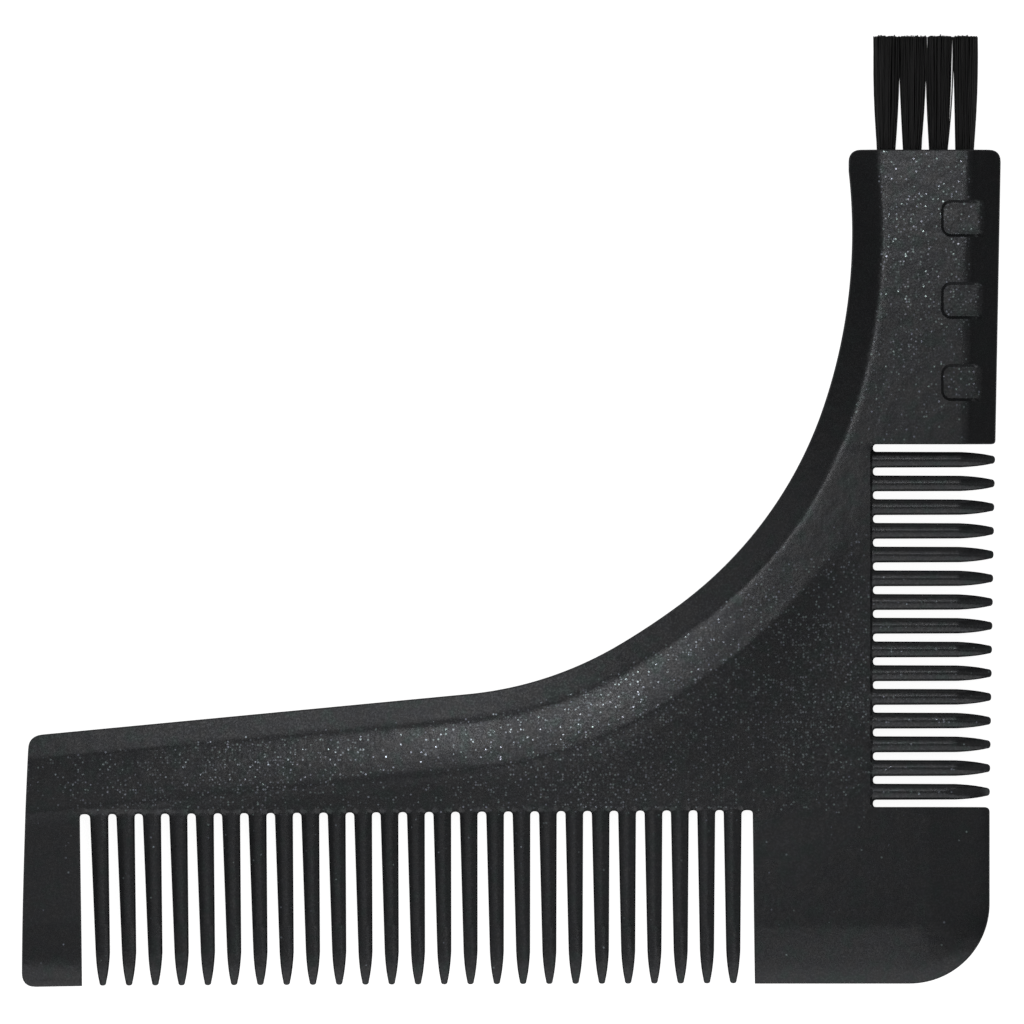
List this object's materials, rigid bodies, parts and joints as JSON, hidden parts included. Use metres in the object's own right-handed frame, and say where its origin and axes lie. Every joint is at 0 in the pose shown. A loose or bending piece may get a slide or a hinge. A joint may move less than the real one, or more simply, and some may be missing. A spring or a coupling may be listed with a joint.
{
  "type": "beard comb",
  "caption": "L-shaped black beard comb with coarse and fine teeth, a concave shaping edge, finger grips and a small bristle brush at the end of its handle.",
  "frame": {"origin": "under the middle of the comb's overall box, on the plane of its lower face", "axes": "+X along the coarse-toothed arm towards the corner block, +Y up the handle towards the brush, +Z through the thickness"},
  "size_m": [0.1222, 0.1188, 0.005],
  "materials": {
    "body_plastic": "satin black with fine metallic flecks",
    "bristle_nylon": "black nylon filament",
    "anchor_wire": "drawn flat wire"
  },
  "bodies": {
    "root": {"comb_body": "body_plastic", "bristle_tuft_1": "bristle_nylon", "bristle_tuft_2": "bristle_nylon", "bristle_tuft_3": "bristle_nylon", "bristle_tuft_4": "bristle_nylon", "tuft_anchor_1": "anchor_wire", "tuft_anchor_2": "anchor_wire", "tuft_anchor_3": "anchor_wire", "tuft_anchor_4": "anchor_wire"}
  },
  "joints": []
}
